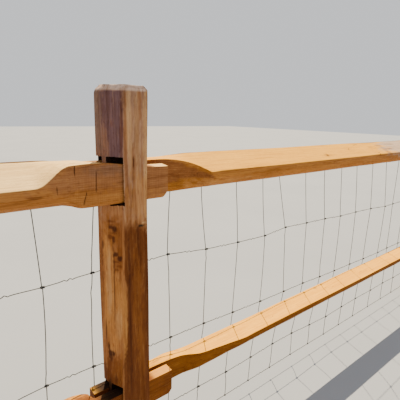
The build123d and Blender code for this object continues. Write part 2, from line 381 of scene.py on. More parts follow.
# Marks on the rails: colour, centre, reach and strength, in millimetres in the shared frame
RAIL_MARKS = {
    "upper_rail_bay_2": [
        ("cheek", (-110, -44, 1078), (135, 26, 38), 0.9),
        ("cheek", (60, -44, 1060), (110, 22, 60), 0.9),
        ("pink", (-60, -44, 1092), (70, 16, 14), 0.45),
        ("orange", (-110, -44, 1018), (160, 26, 22), 0.55),
        ("brown", (-160, -44, 1042), (90, 10, 2.2), 0.6),
        ("brown", (-60, -44, 1040), (50, 10, 2.2), 0.6),
        ("dark", (-250, -46, 1040), (16, 8, 4), 0.55),
        ("dark", (-340, -46, 1030), (80, 10, 3), 0.45),
    ],
    "lower_rail_bay_2": [
        # The first two marks, darker near the photographed post, are the post's painted shadow
        # on this rail
        ("brown", (-190, -20, 375), (120, 80, 50), 0.85),
        ("dark", (-130, -20, 375), (45, 80, 50), 0.7),
        ("dark", (140, -46, 350), (30, 10, 60), 0.35),
    ],
    "upper_rail_bay_3": [
        # The first mark, a paler band along the underside, is painted bounce light
        ("sand", (260, -35, 1012), (260, 32, 22), 0.9),
        ("knot", (1023, -19, 1076), (9, 7, 7), 0.9),
        ("brown", (1023, -19, 1076), (26, 12, 9), 0.35),
        ("brown", (1500, 5, 1100), (60, 14, 12), 0.5),
        ("brown", (1590, -30, 1080), (22, 60, 30), 0.55),
        ("grey", (1790, 8, 1092), (200, 90, 60), 0.85),
        ("dark", (1580, 20, 1096), (40, 5, 8), 0.6),
        ("dark", (1640, -12, 1080), (50, 5, 8), 0.55),
        ("dark", (1730, 24, 1098), (60, 4, 8), 0.5),
    ],
}
RAIL_KNOTS = {"upper_rail_bay_3": [(-19, 1076, 1023, 8), (-30, 1052, 215, 10)]}
# Marks that are also painted on a rail's top
TOP_MARKS = ("grey", "dark", "brown", "knot")

# The pared hollow before one rail's tenon, painted darker as its shade: x, and its lower and
# upper edge
LENS_RAIL, LENS_SHADE = "upper_rail_bay_3", 0.9
LENS_START, LENS_END, LENS_BACK = 60, (328, 318), 20
LENS = np.array([(100, 1025, 1108), (144, 1025, 1104), (191, 1026, 1095), (231, 1032, 1082),
                 (273, 1036, 1063), (300, 1036, 1050), (330, 1036, 1037)])

# Saw nicks on the front of one rail: top and bottom as (x, z)
NICKS = {"upper_rail_bay_2": [((-201, 1064), (-202, 1045)), ((-154, 1112), (-156, 1082)),
                              ((-97, 1092), (-99, 1038)), ((-123, 1041), (-134, 1006))]}
NICK_DEPTH, NICK_WIDTH, NICK_FRONT, NICK_FADE = 2.2, 1.3, -30, 3
# Painted shade in each nick: its strength, its width, and how far to the front it reaches
NICK_STRENGTH, NICK_SHADE, NICK_SHADE_FRONT = 0.9, 1.6, -25

# The noise at a mark's edge: its size along and across the grain, and its strength
FIBRES = [(70, 5, 0.34), (24, 12, 0.22), (8, 4.5, 0.26)]
# Where a mark's soft edge starts and is full, in its own reaches
MARK_EDGE = (1.35, 0.65)


def fibrous(base, is_post, seed):
    """Noise in streaks along the grain, for ragged edges of marks."""
    total = 0
    for number, (along, across, strength) in enumerate(FIBRES):
        size = (across, across, along) if is_post else (along, across, across)
        total = total + strength * noise(base / np.array(size), seed + number)
    return total


# Random marks and knots: how many, and their ranges
RANDOM_POST = {"marks": 14, "knots": 3, "reaches": ((10, 40), (10, 40), (50, 260))}
RANDOM_RAIL = {"marks": 8, "knots": 2, "reaches": ((80, 320), (8, 30), (8, 26))}
RANDOM_COLOURS = ["brown", "dark", "sand", "orange", "brown"]
RANDOM_STRENGTH = (0.35, 0.8)
KNOT_SIZE, KNOT_LENGTH, KNOT_STRENGTH = (5, 9), 1.4, 0.7
# Where they lie: the reach of a post's sides, and the ranges across and up a rail
POST_REACH = (58, 52)
RAIL_MARK_PLACES, RAIL_KNOT_PLACES = ((-46, 50), (0, 110)), ((-40, 40), (20, 90))


def random_place(rng, is_post, along, level, across, up):
    """A random place round a post, or in a rail's ranges across and up."""
    if is_post:
        turn = rng.uniform(0, 2 * math.pi)
        return (POST_REACH[0] * math.cos(turn), POST_REACH[1] * math.sin(turn), along)
    return (along, rng.uniform(*across), level + rng.uniform(*up))


def random_marks(rng, is_post, start, end, level=0):
    """Marks and knots for a piece that the photograph doesn't show."""
    plan = RANDOM_POST if is_post else RANDOM_RAIL
    marks, knots = [], []
    for _ in range(plan["marks"]):
        along = rng.uniform(start, end)
        kind = rng.choice(RANDOM_COLOURS)
        strength = rng.uniform(*RANDOM_STRENGTH)
        centre = random_place(rng, is_post, along, level, *RAIL_MARK_PLACES)
        reach = [rng.uniform(*limits) for limits in plan["reaches"]]
        marks.append((kind, centre, reach, strength))
    for _ in range(plan["knots"]):
        along = rng.uniform(start, end)
        size = rng.uniform(*KNOT_SIZE)
        centre = random_place(rng, is_post, along, level, *RAIL_KNOT_PLACES)
        across, up = centre[:2] if is_post else centre[1:]
        knots.append((across, up, along, size))
        reach = [size, size, size]
        reach[2 if is_post else 0] *= KNOT_LENGTH
        marks.append(("knot", centre, reach, KNOT_STRENGTH))
    return marks, knots


def mixed(tint, colour, share):
    return tint + (np.array(colour) - tint) * share[:, None]


def painted(base, colour, marks, is_post, seed):
    """Colours for a piece: its own, with marks laid over it in turn."""
    tint = np.array(colour)
    ragged = fibrous(base, is_post, seed)
    for kind, centre, reach, strength in marks:
        far = np.linalg.norm((base - np.array(centre)) / np.array(reach), axis=-1)
        tint = mixed(tint, PAINT[kind], strength * step_up(far + ragged, *MARK_EDGE))
    return tint


def coated(tint, base, coats):
    """Lays coats over a piece, each easing in along one axis."""
    for kind, strength, axis, start, full in coats:
        tint = mixed(tint, PAINT[kind], strength * step_up(base[:, axis], start, full))
    return tint


def painted_seen_post(base, seed):
    """Colours of the photographed post, whose marks keep to their own face."""
    x, y, z = base.T
    arris = arris_at(SEEN_POST, z)
    on_left = step_up(arris - x, -ARRIS_EDGE, ARRIS_EDGE)
    back_edge, front_edge = PLAN[ARRIS - 1][1], PLAN[ARRIS][1]
    share = (back_edge - y) / (back_edge - front_edge)
    ragged = fibrous(base, True, seed)
    tint = coated(np.array(PAINT["tan"]), base, SEEN_POST_COATS)

    start, full = (level - STAIN_SLOPE * x for level in STAIN_LEVELS)
    stain = step_up(z + STAIN_RAGGED * ragged, start, full)
    edge = arris + CLEAN_STRIP + WIDE_STRIP * between(z, *WIDE_STRIP_REACH)
    stain = stain * step_up(x + STRIP_RAGGED * ragged, edge, edge + STRIP_EDGE)
    tint = mixed(tint, PAINT["dark"], STAIN_STRENGTH * stain * (1 - on_left))

    for marks, across, on_face in ((LEFT_FACE_MARKS, share, on_left),
                                   (FRONT_FACE_MARKS, x, 1 - on_left)):
        for kind, middle, height, reach, high, strength in marks:
            far = np.hypot((across - middle) / reach, (z - height) / high)
            cover = strength * step_up(far + ragged, *MARK_EDGE) * on_face
            tint = mixed(tint, PAINT[kind], cover)

    # The rim is painted paler: a painted highlight where the sun catches it
    wave = RIM_HIGHLIGHT_WAVE * noise(base / RIM_HIGHLIGHT_GRAIN, seed + 9)
    return mixed(tint, PAINT["rim"], RIM_HIGHLIGHT * step_up(z + wave, *RIM_HIGHLIGHT_EDGE))


def store_paint(mesh, base, axes, knots, tint, top, sawn, seed):
    """Stores a mesh's colours and its places along, across and up the grain."""
    grain = base[:, axes]
    along, across, up = grain.T
    lattice = grain / WAVE_LENGTHS
    across, up = knot_warp(across, up, along, knots)
    across = across + WAVE_HEIGHT * noise(lattice, seed)
    up = up + WAVE_HEIGHT * noise(lattice + WAVE_SHIFT, seed)
    shift = PIECE_SHIFT * seed
    grain = np.stack([along + shift, across, up + shift], axis=-1) * MM
    add_attribute(mesh, "grain", "FLOAT_VECTOR", grain)
    add_attribute(mesh, "tint", "FLOAT_COLOR", np.column_stack([tint, sawn]))
    # The top colour is painted sunlight, which the material lays on upward faces
    add_attribute(mesh, "top", "FLOAT_COLOR", np.column_stack([top, sawn]))


# Posts

# The hewn plan, from its back left corner on, and the number of points on each side
PLAN = [(-40, 62), (-62, 36), (-61, 11), (-20, -50),
        (54, -52), (63, -22), (60, 36), (40, 62)]
POST_SIDES = (9, 7, 19, 19, 9, 15, 9, 19)
SEEN_POST_SIDES = (9, 7, 26, 38, 9, 15, 9, 19)
ARRIS = 3
# The photographed post's front arris runs aslant: its x at the foot and at the top
SEEN_POST = 2
SEEN_ARRIS = (-46, -17)
PLAN_LEVELS = (0, 325, 650, 975, 1300, 1312)
RIM_INSET, WANDER = 8, 2.2
FIRST_SEED, SEED_STEP = 36, 3

# Heights of a post's outlines, as start, end and step, and those of its rim
POST_ROWS = [(0, 1264, 7.4)]
SEEN_POST_ROWS = [(0, 500, 7.4), (500, 560, 2.5), (560, 780, 7), (780, 960, 2.5),
                  (960, 1264, 6)]
RIM_ROWS = np.append(np.linspace(1264, 1298, 9), [1300, 1302.5, 1305, 1307.5, 1310, 1312])
# Relief of its sides, rim and top, and the worn left of the photographed one's rim
POST_RELIEF = [(0.9, (34, 34, 150)), (0.7, (70, 70, 420)),
               (0.34, (4.4, 4.4, 190)), (0.22, (2.2, 2.2, 60))]
RIM_RELIEF = [(1.1, (11, 11, 9))]
RIM_REACH = (1280, 1310)
TOP_RELIEF = [(1.2, 16)]
WORN_DEPTH, WORN_X, WORN_Z = 7, (-36, -58), (1288, 1312)
MARKED_HEIGHTS = (80, 1260)

# A slot's cutter: its outlines, as start, end and count, and the points on its sides
CUTTER_ROWS = ((-92, -18, 26), (-10, 42, 8), (46, 92, 18))
CUTTER_SIDES = (12, 32, 12, 32)
CUTTER_RELIEF = [(0.35, (24, 3.2, 3.2))]
# The slot's mouths, where fibres tear out: from the left face, and on the right as x
LEFT_MOUTH, RIGHT_MOUTH = (9, -1), (50, 60)
MOUTH_DEPTH, TEAR_DEPTH = 0.3, 3.6
TEARS = [(1, (9, 5, 5)), (0.8, (5, 2.4, 8))]
# The torn sill and side of the photographed post's front slots
TORN_SILL, TORN_SIDE, TORN_WAVE, TORN_GRAIN = 6.5, 0.4, 0.5, 6
TORN_REACH = (26, 4)
TORN_WIDTH = 1.5


def arris_at(index, level):
    if index != SEEN_POST:
        return PLAN[ARRIS][0]
    foot, top = SEEN_ARRIS
    return foot + (top - foot) * level / POST_HEIGHT


def post_corners(index):
    """The hewn corners of a post at each level, as the solids have them."""
    rng = random.Random(FIRST_SEED + SEED_STEP * index)
    levels = []
    for level in PLAN_LEVELS:
        inset = RIM_INSET if level == POST_HEIGHT else 0
        scale = 1 - inset / POST_BACK
        ring = []
        for corner, (x, y) in enumerate(PLAN):
            if corner == ARRIS:
                x = arris_at(index, level)
            shift_x = rng.uniform(-WANDER, WANDER)
            shift_y = rng.uniform(-WANDER, WANDER)
            if y == POST_BACK:
                shift_y = 0
            ring.append(((x + shift_x) * scale, (y + shift_y) * scale))
        levels.append(ring)
    return np.array(levels)


def mortise_cutter(arris, slot, floor, height, seed, torn_sill):
    """A long bar with rough fibrous sides, to cut one slot of a mortise."""
    low, high = slot
    xs = np.concatenate([np.linspace(*row) for row in CUTTER_ROWS])
    corners = np.array([[low, floor], [high, floor],
                        [high, floor + height], [low, floor + height]])
    points = outline(np.repeat(corners[None], len(xs), axis=0), CUTTER_SIDES, 0)
    places = with_axis(0, xs, points)
    x = places[..., 0]
    (back_x, back_y), front_y = PLAN[ARRIS - 1], PLAN[ARRIS][1]
    left_face = arris - (arris - back_x) * (points[..., 0] - front_y) / (back_y - front_y)
    mouth = np.maximum(step_up(x, left_face + LEFT_MOUTH[0], left_face + LEFT_MOUTH[1]),
                       step_up(x, *RIGHT_MOUTH))
    torn = 0
    for number, (strength, size) in enumerate(TEARS):
        tear = np.maximum(0, noise(places / np.array(size), seed + 1 + number))
        torn = torn + strength * tear ** 2
    rough = relief(places, CUTTER_RELIEF, seed) + mouth * (MOUTH_DEPTH + TEAR_DEPTH * torn)
    points = points + outward(points) * rough[..., None]
    if torn_sill:
        near = step_up(x, left_face + TORN_REACH[0], left_face + TORN_REACH[1])
        wave = 1 + TORN_WAVE * noise(places / TORN_GRAIN, seed + 3)
        sill = near * (points[..., 1] < floor + TORN_WIDTH) * wave
        side = near * (points[..., 0] < low + TORN_WIDTH)
        side = side * (1 - (points[..., 1] - floor) / height)
        points = points - np.stack([TORN_SIDE * torn_sill * side, torn_sill * sill], axis=-1)
    mesh = skin("cutter", with_axis(0, xs, points), 0)
    set_materials(mesh, np.full(len(mesh.polygons), MORTISE))
    return mesh


def post_mesh(index, seed):
    seen = index == SEEN_POST
    rows = SEEN_POST_ROWS if seen else POST_ROWS
    heights = np.concatenate([np.arange(*row) for row in rows] + [RIM_ROWS])
    levels = post_corners(index)
    corners = eased(heights, np.array(PLAN_LEVELS[:-1]), levels[:-1])
    below = PLAN_LEVELS[-2]
    rim = np.clip((heights - below) / (POST_HEIGHT - below), 0, 1)[:, None, None]
    corners = corners * (1 - rim) + levels[-1] * rim
    points = outline(corners, SEEN_POST_SIDES if seen else POST_SIDES, SOFTENING)
    places = with_axis(2, heights, points)
    x, z = places[..., 0], places[..., 2]
    crumbs = step_up(z, *RIM_REACH) * relief(places, RIM_RELIEF, seed + 4)
    inset = relief(places, POST_RELIEF, seed) + crumbs
    if seen:
        inset = inset + WORN_DEPTH * step_up(x, *WORN_X) * step_up(z, *WORN_Z)
    points = points - outward(points) * inset[..., None]
    rings, ends = close_ends(with_axis(2, heights, points), 2, seed + 5)
    lid = rings[-ends - 1:]
    lid[..., 2] -= relief(lid, TOP_RELIEF, seed + 6)
    rings[:ends, :, 2] = 0
    return skin("post", rings, ends)


def cut_away(piece, mesh, materials):
    """Cuts a mesh out of a piece."""
    cutter = add_object("cutter", mesh, materials)
    change = piece.modifiers.new("mortise", "BOOLEAN")
    change.operation = "DIFFERENCE"
    change.solver = "EXACT"
    change.object = cutter
    graph = bpy.context.evaluated_depsgraph_get()
    cut = bpy.data.meshes.new_from_object(piece.evaluated_get(graph))
    piece.modifiers.clear()
    piece.data = cut
    bpy.data.objects.remove(cutter)


def dress_post(index, materials):
    number = index + 1
    seed = POST_SEED + index
    seen = index == SEEN_POST
    piece = add_object("hewn_post_" + str(number), post_mesh(index, seed), materials)
    for kind, floor in MORTISE_FLOORS.items():
        height = MORTISE_HEIGHTS[kind]
        for order, slot in enumerate(SLOTS):
            torn_sill = TORN_SILL if seen and order == 0 else 0
            cutter = mortise_cutter(arris_at(index, floor), slot, floor, height,
                                    seed + SLOT_SEED_STEP * order + height, torn_sill)
            cut_away(piece, cutter, materials)
    mesh = piece.data
    base = vertices_of(mesh) / MM
    if seen:
        tint, knots = painted_seen_post(base, seed), SEEN_POST_KNOTS
    else:
        marks, knots = random_marks(random.Random(seed), True, *MARKED_HEIGHTS)
        tint = painted(base, PAINT["tan"], marks, True, seed)
        tint = coated(tint, base, PLAIN_POST_COATS)
    store_paint(mesh, base, (2, 0, 1), knots, tint, tint, np.zeros(len(base)), number)
    places = vertices_of(mesh)
    places[:, 0] += post_x(index) * MM
    mesh.vertices.foreach_set("co", places.ravel())
    finish_mesh(mesh)
    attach(piece, "root")
    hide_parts("post_" + str(number))


# Rails

RAIL_SIDES = (24, 6, 7, 7, 8, 14, 11, 10)
RAIL_CORNERS = len(RAIL_SIDES)
SAME_OUTLINE = 0.05

# Right ends, from the post's axis: height at the shoulder and at the end, reach, start
RIGHT_ENDS = {"upper": (118, 99, 129, 304), "lower": (97, 97, 150, 523)}
# The paring of the back: place, how far out it is, and how high its lower edge is
BACK_PARING = np.array([(112, 0, 0.5), (120, 0.5, 0.55), (135, 0.72, 0.6),
                        (166, 0.92, 0.8), (200, 1, 0.94), (251, 1, 0.94)])
PARED_PLACES = (251, 234, 217, 200, 183, 166, 135, 120, 112)
FRONT_PARED = 185
TOP_PARED = (166, 251)
TOP_BACK, RIDGE, BACK_HIGH = 0, 1, 7
BACK_CORNERS = [0, 5, 6, 7]
TENON_PLAY, TENON_EDGE, TENON_BEVEL = 3, 9, 12
# How far a tenon's top falls to the front, at the shoulder and at the end
SHOULDER_FALL, END_FALL = 1, 4

# The spacing of a rail's outlines: near its posts, between them, at nicks and at knots
END_LENGTH = 340
END_STEP, MIDDLE_STEP, NICK_STEP, KNOT_STEP = 5.5, 12, 0.7, 2.6
NICK_BEFORE, NICK_AFTER, KNOT_MARGIN = 2.2, 2.3, 20
CLOSEST = 0.3

# Relief of a rail's sides, and how much of it is left on the pared ends
RAIL_HEWING = [(0.8, (120, 36, 36)), (0.8, (420, 60, 60))]
RAIL_FIBRE = [(0.26, (240, 4.6, 4.6)), (0.18, (80, 2.3, 2.3))]
PARED_HEWING, PARED_FIBRE = 0.12, 0.5
LEFT_PARED, RIGHT_PARED = (120, 190), (120, 170)
# Distances from a post's axis where a rail is in the mortise's shade, and where it is sawn
SHADED, SHADE = (92, 70), 0.7
SAWN = (210, 120)
# The painted shade on the lower rails in and beside the photographed post's mortises, and its
# strength on top and side
LOWER_MORTISE_SHADE, SHADE_ON_TOP, SHADE_ON_SIDE = ((-128, -84), (62, 54)), 0.92, 0.8


def rail_rings(node):
    """The outlines along a rail's node, with their corners in order."""
    places = np.unique(np.round(vertices_of(nodes[node].data) / MM, 3), axis=0)
    xs = np.unique(np.round(places[:, 0], 2))
    kept, rings = [], []
    for x in xs:
        ring = places[np.abs(places[:, 0] - x) < SAME_OUTLINE][:, 1:]
        if len(ring) != RAIL_CORNERS:
            continue
        offset = ring - ring.mean(axis=0)
        ring = ring[np.argsort(np.arctan2(offset[:, 1], offset[:, 0]))]
        start = np.argmax(ring[:, 0] + ring[:, 1])
        kept.append(x)
        rings.append(np.roll(ring, -start, axis=0))
    return np.array(kept), np.array(rings)


def tenon_ring(height, fall=0, bevel=0):
    """The corners of a front tenon, raised at its foot by a bevel."""
    low, high = SLOTS[0][0] + TENON_PLAY, SLOTS[0][1] - TENON_PLAY
    foot = TENON_EDGE + bevel
    return np.array([(high, height), (low, height - fall), (low, height / 2), (low, foot),
                     (low + TENON_EDGE, bevel), (high - TENON_EDGE, bevel), (high, foot),
                     (high, height / 2)])


def top_at(ring, y):
    front, back = ring[RIDGE], ring[TOP_BACK]
    return front[1] + (back[1] - front[1]) * (y - front[0]) / (back[0] - front[0])


def reshape_right_end(kind, xs, rings, right):
    """Gives a rail's right end its steep back shoulder and tapering tenon."""
    shoulder_height, end_height, reach, start = RIGHT_ENDS[kind]
    floor = np.array([0, MORTISE_FLOORS[kind]])
    kept = xs <= right - start + 1
    body = rings[kept][-1] - floor
    shoulder = tenon_ring(shoulder_height, SHOULDER_FALL)
    new_rings = []
    for place in PARED_PLACES:
        out = np.interp(place, BACK_PARING[:, 0], BACK_PARING[:, 1])
        edge = np.interp(place, BACK_PARING[:, 0], BACK_PARING[:, 2])
        share = np.full(RAIL_CORNERS, step_up(place, SHOULDER, FRONT_PARED))
        share[BACK_CORNERS] = out
        ring = shoulder + (body - shoulder) * share[:, None]
        rise = step_up(place, *TOP_PARED)
        for corner in (TOP_BACK, RIDGE):
            y = ring[corner, 0]
            ring[corner, 1] = top_at(shoulder, y) * (1 - rise) + top_at(body, y) * rise
        ring[BACK_HIGH] = (ring[TOP_BACK, 0], body[TOP_BACK, 1] * edge)
        new_rings.append(ring)
    new_rings += [tenon_ring(end_height, END_FALL, bevel) for bevel in (0, TENON_BEVEL)]
    new_xs = [right - place for place in PARED_PLACES]
    new_xs += [right + reach - TENON_BEVEL, right + reach]
    return (np.append(xs[kept], new_xs),
            np.concatenate([rings[kept], np.array(new_rings) + floor]))


def rail_stations(start, end, left, right, nicks, knots):
    first, last = left + END_LENGTH, right - END_LENGTH
    places = [np.arange(start, first, END_STEP), np.arange(first, last, MIDDLE_STEP),
              np.arange(last, end, END_STEP), [end]]
    for (top_x, _), (foot_x, _) in nicks:
        low, high = min(top_x, foot_x), max(top_x, foot_x)
        places.append(np.arange(low - NICK_BEFORE, high + NICK_AFTER, NICK_STEP))
    for _, _, along, _ in knots:
        places.append(np.arange(along - KNOT_MARGIN, along + KNOT_MARGIN, KNOT_STEP))
    stations = np.sort(np.concatenate(places))
    return stations[np.append(True, np.diff(stations) > CLOSEST)]


def off_nick(nick, x, z):
    """How far places are from a saw nick's line along the rail."""
    (top_x, top_z), (foot_x, foot_z) = nick
    share = np.clip((z - foot_z) / (top_z - foot_z), 0, 1)
    return np.abs(x - (foot_x + (top_x - foot_x) * share))


def rail_mesh(node, kind, left, right, seed):
    xs, rings = reshape_right_end(kind, *rail_rings(node), right)
    nicks = NICKS.get(node, [])
    stations = rail_stations(xs[0], xs[-1], left, right, nicks, RAIL_KNOTS.get(node, []))
    points = outline(eased(stations, xs, rings), RAIL_SIDES, SOFTENING)
    places = with_axis(0, stations, points)
    x, y, z = places[..., 0], points[..., 0], points[..., 1]
    body = np.minimum(step_up(x, *(left + place for place in LEFT_PARED)),
                      step_up(x, *(right - place for place in RIGHT_PARED)))
    hewing = PARED_HEWING + (1 - PARED_HEWING) * body
    fibre = PARED_FIBRE + (1 - PARED_FIBRE) * body
    inset = relief(places, RAIL_HEWING, seed) * hewing
    inset = inset + relief(places, RAIL_FIBRE, seed + 2) * fibre
    for nick in nicks:
        top, foot = nick[0][1], nick[1][1]
        cut = np.clip(1 - off_nick(nick, x, z) / NICK_WIDTH, 0, 1) * (y < NICK_FRONT)
        cut = cut * between(z, (foot - NICK_FADE, foot + NICK_FADE),
                            (top + NICK_FADE, top - NICK_FADE))
        inset = inset + NICK_DEPTH * cut
    points = points - outward(points) * inset[..., None]
    return skin(node, *close_ends(with_axis(0, stations, points), 0, seed + 5))


def lens_share(base):
    """How far inside the pared hollow each place is."""
    x, y, z = base.T
    low = np.interp(x, LENS[:, 0], LENS[:, 1])
    high = np.interp(x, LENS[:, 0], LENS[:, 2])
    return (between(z, (low - 2, low + 4), (high + 3, high - 1))
            * step_up(x, *LENS_END) * (y < LENS_BACK) * (x > LENS_START))


def rail_colours(node, kind, base, marks, from_post, seed):
    """Colours of a rail's sides, and the paler ones of its tops, which are painted sunlight.
    """
    side, top = RAIL_PAINT.get(node, PLAIN_RAIL_PAINT)
    x, y, z = base.T
    tint = coated(painted(base, side, marks, False, seed), base, RAIL_COATS)
    if node == LENS_RAIL:
        # The pared hollow is painted darker: painted shade in the hollow
        tint = mixed(tint, PAINT["lens"], LENS_SHADE * lens_share(base))
    # Each saw nick is painted dark along its line: painted shade in the groove
    for nick in NICKS.get(node, []):
        top_z, foot_z = nick[0][1], nick[1][1]
        on = (z > foot_z) & (z < top_z) & (y < NICK_SHADE_FRONT)
        dark = np.clip(NICK_SHADE - off_nick(nick, x, z), 0, 1)
        tint = mixed(tint, PAINT["knot"], NICK_STRENGTH * dark * on)
    top_marks = [mark for mark in marks if mark[0] in TOP_MARKS]
    # The tops' paler colours are painted sunlight
    tops = painted(base, top, top_marks, False, seed)
    tops = mixed(tops, np.array(side) * SHADE, step_up(from_post, *SHADED))
    if kind == "lower":
        # Painted shade in and beside the mortise: black on the tops, dark on the sides
        mortise_shade = between(x, *LOWER_MORTISE_SHADE)
        tops = mixed(tops, PAINT["black"], SHADE_ON_TOP * mortise_shade)
        tint = mixed(tint, PAINT["dark"], SHADE_ON_SIDE * mortise_shade)
    return tint, tops


def dress_rail(bay, kind, materials):
    node = kind + "_rail_bay_" + str(bay + 1)
    seed = RAIL_SEED + RAIL_SEED_STEP * bay + (LOWER_SEED_STEP if kind == "lower" else 0)
    left, right = post_x(bay), post_x(bay + 1)
    mesh = rail_mesh(node, kind, left, right, seed)
    base = vertices_of(mesh) / MM
    if node in RAIL_MARKS:
        marks, knots = RAIL_MARKS[node], RAIL_KNOTS.get(node, [])
    else:
        marks, knots = random_marks(random.Random(seed), False, left, right,
                                    MORTISE_FLOORS[kind])
    from_post = np.minimum(np.abs(base[:, 0] - left), np.abs(base[:, 0] - right))
    tint, tops = rail_colours(node, kind, base, marks, from_post, seed)
    store_paint(mesh, base, (0, 1, 2), knots, tint, tops, step_up(from_post, *SAWN), seed % 97)
    finish_mesh(mesh)
    piece = add_object("cleft_" + node, mesh, materials)
    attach(piece, "root")
    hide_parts(node)


# Netting

WIRE_RADIUS, WIRE_SIDES, WIRE_ANGLE = 1.35, 6, 60
LINE_DEPTH = 62.15
LINE_HEIGHTS = (46, 172, 446, 766, 1046)
LINE_GIVE = (0, 0.2, 0.6, 1, 0.3)
LINES = len(LINE_HEIGHTS)
POST_SAG = (-22, 6, 0, -66, -30)
STAY_SPACING, STAY_OFFSET = 160, 62
NET_LAP, NET_GAP = 36, 0.05
# A direction that no wire starts in, from which its first outline is turned
NOT_ALONG = (0.3, 0.2, 0.93)
# How much the crossings wander: at first, from line to line, and up and down
DRIFT, DRIFT_STEP, DRIFT_KEPT = 6, 7, 0.5
LEVEL_PLAY, EDGE_PLAY = 3.5, 0.3
# A stay wound round a line: its turns, its pitch in radii, its points a turn and its shift
TURNS, COIL_PITCH, COIL_POINTS, COIL_SIDE = 1.75, 2.08, 10, 1
# A stay between two lines: the shares where it has points, its bow and its kink
STAY_SHARES = (0.03, 0.08, 0.12, 0.2, 0.32, 0.5, 0.68, 0.8, 0.88, 0.92, 0.97)
BOW, KINK = 4.5, 3
KINK_SHARES = (0.12, 0.2, 0.8, 0.88)
# The crimp between two stays: its points, its height, its half wave and where it ends
CRIMP_POINTS = (-30, -17, -13, -9, -4.5, 0, 4.5, 9, 13, 17, 30)
CRIMP_HEIGHT, CRIMP_WAVE, CRIMP_END = 2.6, 9, 18
CRIMP_SPACE, STAY_MARGIN = 70, 6
# Staples: their places across the post, the depth of their points, and their bend, as
# distances from the middle and below the crown
STAPLE_RADIUS, STAPLE_GAP, STAPLE_LEG = 0.85, 0.02, 46
STAPLE_PLACES, STAPLE_PLAY, STAPLE_LEAN = (-16, 13), 5, 0.5
STAPLE_BEND = ((-5, 3), (-4.4, 1.2), (-3.2, 0.2), (0, 0), (3.2, 0.2), (4.4, 1.2),
               (5, 3))

# Where the photographed stays cross each line, top line first: x in millimetres
SEEN_KNOTS = {
    -2: (-238, -218, -226, -232, -240), -1: (-54, -72, -79, -84, -90),
    1: (217, 206, 220, 214, 210), 2: (346, 383, 381, 361, 356), 3: (520, 554, 542, 517, 520),
    4: (682, 721, 717, 673, 668), 5: (780, 863, 886, 828, 820), 6: (980, 1028, 1040, 979, 985),
    7: (1140, 1188, 1192, 1135, 1140), 8: (1298, 1340, 1335, 1296, 1292),
    9: (1452, 1501, 1501, 1460, 1450), 10: (1630, 1680, 1661, 1622, 1615),
    11: (1800, 1870, 1850, 1815, 1805),
}
# and how high, from the line below the top one downwards
SEEN_HEIGHTS = {
    -2: (765, 458, 168), -1: (770, 456, 167), 1: (766, 442, 166), 2: (747, 440, 165),
    3: (739, 433, 160), 4: (735, 428, 164), 5: (748, 426, 170), 6: (741, 425, 169),
    7: (736, 419, 159), 8: (727, 416, 152), 9: (725, 414, 158), 10: (720, 410, 160),
    11: (707, 408, 158),
}


def line_height(line, x):
    place = x / BAY + BAYS // 2
    index = min(BAYS - 1, max(0, int(place)))
    sag = POST_SAG[index] + (POST_SAG[index + 1] - POST_SAG[index]) * (place - index)
    return LINE_HEIGHTS[line] + sag * LINE_GIVE[line]


def make_knots():
    """The net's crossings: for each stay's number, (x, z) at each line from the top down."""
    rng = random.Random(CROSSING_SEED)
    half = BAYS * BAY / 2
    last = int((half + STAY_OFFSET) // STAY_SPACING)
    knots = {}
    for number in range(-last, last + 1):
        x = STAY_OFFSET + number * STAY_SPACING
        if not -half <= x < half:
            continue
        column = []
        drift = rng.uniform(-DRIFT, DRIFT)
        for order in range(LINES):
            drift = DRIFT_KEPT * drift + rng.uniform(-DRIFT_STEP, DRIFT_STEP)
            place = SEEN_KNOTS[number][order] if number in SEEN_KNOTS else x + drift
            at_edge = order in (0, LINES - 1)
            play = rng.uniform(-LEVEL_PLAY, LEVEL_PLAY) * (EDGE_PLAY if at_edge else 1)
            level = line_height(LINES - 1 - order, place) + play
            if number in SEEN_HEIGHTS and not at_edge:
                level = SEEN_HEIGHTS[number][order - 1]
            column.append((place, level))
        knots[number] = column
    return knots


def tube(path, radius):
    """Vertices and faces of a wire along a path, closed at both ends."""
    path = np.array(path, dtype=float)
    ways = np.gradient(path, axis=0)
    ways /= np.linalg.norm(ways, axis=1, keepdims=True)
    side = np.cross(ways[0], NOT_ALONG)
    side /= np.linalg.norm(side)
    turn = np.arange(WIRE_SIDES) * 2 * np.pi / WIRE_SIDES
    rings = []
    for point, way in zip(path, ways):
        side = side - way * (side @ way)
        side /= np.linalg.norm(side)
        over = np.cross(way, side)
        ring = np.cos(turn)[:, None] * side + np.sin(turn)[:, None] * over
        rings.append(point + radius * ring)
    return np.concatenate(rings), faces_over(len(path), WIRE_SIDES)


def wires_object(name, tubes, material):
    places, faces, count = [], [], 0
    for points, polygons in tubes:
        places.append(points)
        faces += [[corner + count for corner in polygon] for polygon in polygons]
        count += len(points)
    mesh = bpy.data.meshes.new(name)
    mesh.from_pydata((np.concatenate(places) * MM).tolist(), [], faces)
    finish_mesh(mesh, WIRE_ANGLE)
    piece = add_object(name, mesh, [material])
    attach(piece, "root")
    return piece


def coil(x, z, start, end, way):
    """Points of a stay wound round a line, between two turns."""
    reach = 2 * WIRE_RADIUS
    pitch = COIL_PITCH * WIRE_RADIUS
    points = []
    for turn in np.linspace(start, end, int(abs(end - start) * COIL_POINTS) + 1):
        angle = -2 * np.pi * turn
        points.append((x + way * pitch * abs(turn), LINE_DEPTH + reach * math.cos(angle),
                       z + reach * math.sin(angle)))
    return points


